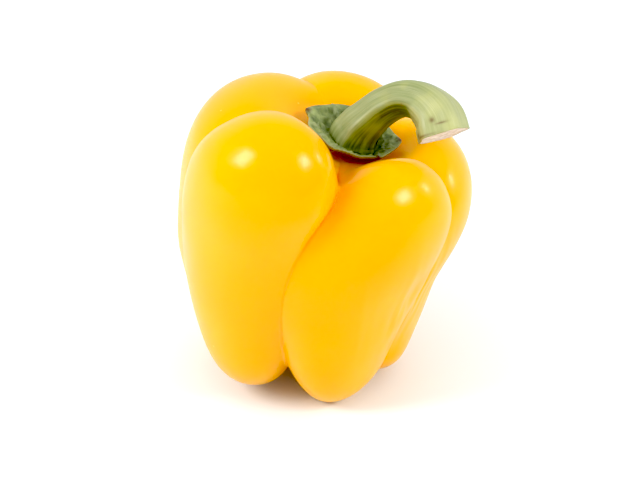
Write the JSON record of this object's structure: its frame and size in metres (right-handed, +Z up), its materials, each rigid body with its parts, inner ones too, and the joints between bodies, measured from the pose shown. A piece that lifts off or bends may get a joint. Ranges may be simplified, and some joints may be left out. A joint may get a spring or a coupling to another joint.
{
  "type": "bell pepper",
  "caption": "Fresh yellow bell pepper with deep lobes that stands leaning on their feet, a cupped green calyx on its crown and a thick stem that bends over to a cut end.",
  "frame": {"origin": "on the floor, under the middle of the whole pepper's bounding box, stem included", "axes": "+Z up; -Y is the front, where the deepest groove runs between the front lobes; +X is to the right, the way the crown leans and the stem bends"},
  "size_m": [0.088, 0.0916, 0.1037],
  "materials": {
    "skin": "smooth waxy yellow skin, glossy, orange in the folds",
    "calyx": "thin crinkled green leaf, satin, brown at the tips",
    "stem": "ridged pale green stem, satin, with a pale cut end"
  },
  "bodies": {
    "root": {"fruit": "skin", "calyx": "calyx", "stem": "stem"}
  },
  "joints": []
}
